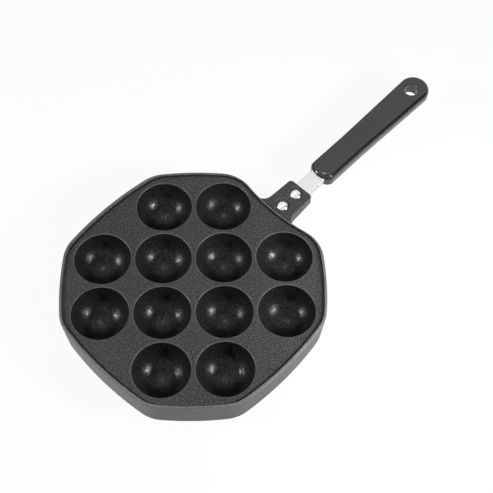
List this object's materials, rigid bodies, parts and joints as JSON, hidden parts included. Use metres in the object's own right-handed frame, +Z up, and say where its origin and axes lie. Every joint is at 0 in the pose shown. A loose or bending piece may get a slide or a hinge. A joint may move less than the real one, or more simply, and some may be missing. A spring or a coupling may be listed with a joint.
{
  "type": "takoyaki pan",
  "caption": "Eight-sided cast stovetop pan with rows of round bowls, and a moulded grip with a hanging hole on a riveted steel strap.",
  "frame": {"origin": "middle of the overall length, on the plane that the pan's skirt rests on", "axes": "+X from the pan towards the handle's end, +Z up, out of the bowls, and +Y to the left when looking along the handle"},
  "size_m": [0.3619, 0.1882, 0.028],
  "materials": {
    "pan_coating": "die-cast aluminium under a dark, fine-grained non-stick coating",
    "strap_steel": "bright satin stainless steel",
    "rivet_metal": "bright polished",
    "grip_resin": "satin moulded heat-proof resin"
  },
  "bodies": {
    "root": {"pan_casting": "pan_coating", "handle_strap": "strap_steel", "inner_rivet": "rivet_metal", "outer_rivet": "rivet_metal", "grip": "grip_resin", "grip_screw": "strap_steel"}
  },
  "joints": []
}
